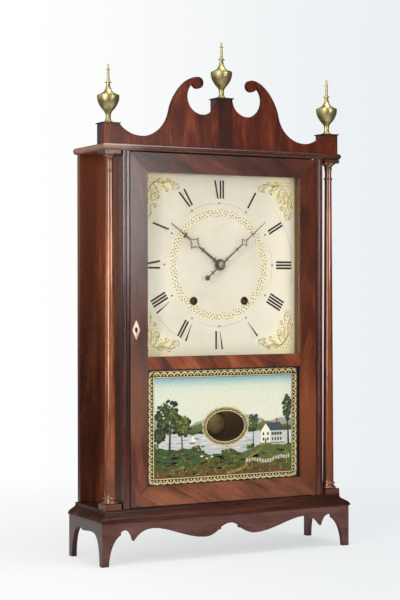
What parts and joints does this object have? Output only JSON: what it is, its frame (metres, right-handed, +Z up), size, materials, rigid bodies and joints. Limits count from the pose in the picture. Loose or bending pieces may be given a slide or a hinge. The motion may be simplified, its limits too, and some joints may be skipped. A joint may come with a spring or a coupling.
{
  "type": "pillar and scroll shelf clock",
  "caption": "Shelf clock with bracket feet, slender turned columns, a glazed door over dial and painted tablet, a scrolled top with urn finials, and a weight-driven wooden movement.",
  "frame": {"origin": "on the floor under the middle of the clock's bounding box", "axes": "+Z up, front with dial and door towards -Y, +X to the right as seen by someone who faces the dial"},
  "size_m": [0.44, 0.1254, 0.799],
  "materials": {
    "mahogany": "polished",
    "dark_plate": "satin",
    "aged_brass": "worn",
    "pine": "matte",
    "dial_paint": "satin",
    "glass": "polished",
    "bone": "satin",
    "blued_iron": "satin",
    "cherry": "satin",
    "steel": "satin",
    "cord": "matte",
    "cast_weight": "matte"
  },
  "bodies": {
    "case": {"base_front": "mahogany", "base_side_left": "mahogany", "base_side_right": "mahogany", "base_top": "mahogany", "backboard": "mahogany", "case_side_left": "mahogany", "case_side_right": "mahogany", "jamb_beads": "mahogany", "cornice": "mahogany", "column_left": "mahogany", "column_right": "mahogany", "column_blocks": "mahogany", "scroll_board": "mahogany", "finial_blocks": "mahogany", "finial_plates": "dark_plate", "finials": "aged_brass", "inner_rails": "pine", "dial_board": "dial_paint", "winding_bushes": "aged_brass", "front_plate": "cherry", "back_plate": "cherry", "pendulum_post": "steel", "bell": "aged_brass", "bell_stud": "steel", "pulley_brackets": "pine", "cord_runs": "cord", "time_cord": "cord", "strike_cord": "cord"},
    "door": {"door_stile_left": "mahogany", "door_stile_right": "mahogany", "door_rail_top": "mahogany", "door_rail_middle": "mahogany", "door_rail_bottom": "mahogany", "dial_glass": "glass", "tablet_glass": "glass", "door_pivots": "aged_brass", "keyhole_escutcheon": "bone", "door_lock": "aged_brass"},
    "lock_bolt": {"lock_bolt": "aged_brass"},
    "minute_hand": {"minute_hand": "blued_iron", "cannon_pinion": "cherry"},
    "hour_hand": {"hour_hand": "blued_iron", "hour_wheel": "cherry"},
    "minute_wheel": {"minute_wheel": "cherry"},
    "time_weight": {"time_weight": "cast_weight"},
    "strike_weight": {"strike_weight": "cast_weight"},
    "time_drum": {"time_drum": "cherry"},
    "strike_drum": {"strike_drum": "cherry"},
    "time_pulley": {"time_pulley": "cherry"},
    "strike_pulley": {"strike_pulley": "cherry"},
    "escape_wheel": {"escape_wheel": "cherry"},
    "third_wheel": {"third_wheel": "cherry"},
    "second_wheel": {"second_wheel": "cherry"},
    "centre_wheel": {"centre_wheel": "cherry"},
    "time_great_wheel": {"time_great_wheel": "cherry"},
    "strike_great_wheel": {"strike_great_wheel": "cherry"},
    "pendulum": {"pendulum_rod": "steel", "pendulum_bob": "aged_brass"},
    "verge": {"verge": "steel"},
    "hammer": {"hammer": "steel"}
  },
  "joints": [
    {"name": "door_hinge", "type": "hinge", "parent": "case", "child": "door", "pos_m": [0.1605, -0.04425, 0.3515], "axis": [0, 0, 1], "range_deg": [0, 110]},
    {"name": "bolt_slide", "type": "slide", "parent": "door", "child": "lock_bolt", "axis": [-1, 0, 0], "range_m": [0, 0.007]},
    {"name": "minute_turn", "type": "hinge", "parent": "case", "child": "minute_hand", "pos_m": [0, -0.032, 0.4511], "axis": [0, 1, 0], "continuous": true},
    {"name": "hour_turn", "type": "hinge", "parent": "case", "child": "hour_hand", "pos_m": [0, -0.028, 0.4511], "axis": [0, 1, 0], "continuous": true},
    {"name": "minute_wheel_turn", "type": "hinge", "parent": "case", "child": "minute_wheel", "pos_m": [0, -0.006, 0.4691], "axis": [0, 1, 0], "continuous": true},
    {"name": "time_weight_slide", "type": "slide", "parent": "case", "child": "time_weight", "axis": [0, 0, 1], "range_m": [0, 0.33], "deforming": ["time_cord"]},
    {"name": "strike_weight_slide", "type": "slide", "parent": "case", "child": "strike_weight", "axis": [0, 0, 1], "range_m": [0, 0.33], "deforming": ["strike_cord"]},
    {"name": "time_drum_turn", "type": "hinge", "parent": "case", "child": "time_drum", "pos_m": [0.0453, 0.014, 0.3946], "axis": [0, -1, 0], "range_deg": [0, 1237]},
    {"name": "strike_drum_turn", "type": "hinge", "parent": "case", "child": "strike_drum", "pos_m": [-0.0453, 0.014, 0.3946], "axis": [0, 1, 0], "range_deg": [0, 1237]},
    {"name": "time_pulley_turn", "type": "hinge", "parent": "case", "child": "time_pulley", "pos_m": [0.115, 0.014, 0.598], "axis": [0, -1, 0], "range_deg": [0, 1455]},
    {"name": "strike_pulley_turn", "type": "hinge", "parent": "case", "child": "strike_pulley", "pos_m": [-0.115, 0.014, 0.598], "axis": [0, 1, 0], "range_deg": [0, 1455]},
    {"name": "escape_turn", "type": "hinge", "parent": "case", "child": "escape_wheel", "pos_m": [0, -0.007, 0.391], "axis": [0, 1, 0], "continuous": true},
    {"name": "third_turn", "type": "hinge", "parent": "case", "child": "third_wheel", "pos_m": [0.0109, 0.012, 0.4126], "axis": [0, 1, 0], "continuous": true},
    {"name": "second_turn", "type": "hinge", "parent": "case", "child": "second_wheel", "pos_m": [0.035, 0.025, 0.43047], "axis": [0, 1, 0], "continuous": true},
    {"name": "centre_turn", "type": "hinge", "parent": "case", "child": "centre_wheel", "pos_m": [0, 0.021, 0.4511], "axis": [0, 1, 0], "continuous": true},
    {"name": "time_great_turn", "type": "hinge", "parent": "case", "child": "time_great_wheel", "pos_m": [0.0453, 0.033, 0.3946], "axis": [0, 1, 0], "continuous": true},
    {"name": "strike_great_turn", "type": "hinge", "parent": "case", "child": "strike_great_wheel", "pos_m": [-0.0453, 0.033, 0.3946], "axis": [0, 1, 0], "continuous": true},
    {"name": "pendulum_swing", "type": "hinge", "parent": "case", "child": "pendulum", "pos_m": [0, -0.012, 0.4311], "axis": [0, 1, 0], "range_deg": [-2.5, 2.5]},
    {"name": "verge_rock", "type": "hinge", "parent": "case", "child": "verge", "pos_m": [0, -0.007, 0.41873], "axis": [0, 1, 0], "range_deg": [-4.2, 4.2]},
    {"name": "hammer_lift", "type": "hinge", "parent": "case", "child": "hammer", "pos_m": [-0.034, 0.025, 0.5221], "axis": [0, -1, 0], "range_deg": [0, 15]}
  ],
  "couplings": [
    {"joint": "hour_turn", "follows": "minute_turn", "ratio": 0.083333},
    {"joint": "minute_wheel_turn", "follows": "minute_turn", "ratio": -0.33333},
    {"joint": "time_drum_turn", "follows": "time_weight_slide", "rad_per_m": 65.359},
    {"joint": "time_pulley_turn", "follows": "time_weight_slide", "rad_per_m": 76.923},
    {"joint": "strike_drum_turn", "follows": "strike_weight_slide", "rad_per_m": 65.359},
    {"joint": "strike_pulley_turn", "follows": "strike_weight_slide", "rad_per_m": 76.923},
    {"joint": "third_turn", "follows": "escape_turn", "ratio": -0.22222},
    {"joint": "second_turn", "follows": "escape_turn", "ratio": 0.042328},
    {"joint": "centre_turn", "follows": "escape_turn", "ratio": -0.009675},
    {"joint": "time_great_turn", "follows": "escape_turn", "ratio": -0.0070547},
    {"joint": "verge_rock", "follows": "pendulum_swing", "ratio": 1.6511}
  ]
}
